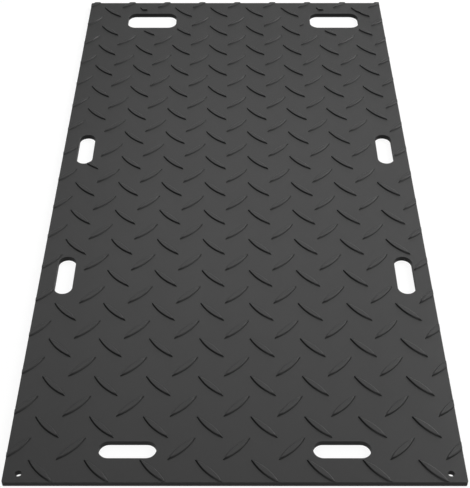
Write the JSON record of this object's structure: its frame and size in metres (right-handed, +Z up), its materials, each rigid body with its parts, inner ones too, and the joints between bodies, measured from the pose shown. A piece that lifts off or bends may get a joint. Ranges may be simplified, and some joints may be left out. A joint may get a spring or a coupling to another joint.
{
  "type": "ground protection mat",
  "caption": "Flat rectangular polyethylene ground mat with slanted raised treads, hand slots along its edges and small pin holes near the front corners.",
  "frame": {"origin": "centre of the mat's outline, on the flat underside that lies on the ground", "axes": "+X to the right across the short end, +Y from the front end (the nearer one, with the pin holes) to the back end, +Z up out of the tread side"},
  "size_m": [1.22, 2.44, 0.0215],
  "materials": {
    "black_polyethylene": "satin moulded polyethylene, plain dark grey"
  },
  "bodies": {
    "root": {"ground_mat": "black_polyethylene"}
  },
  "joints": []
}
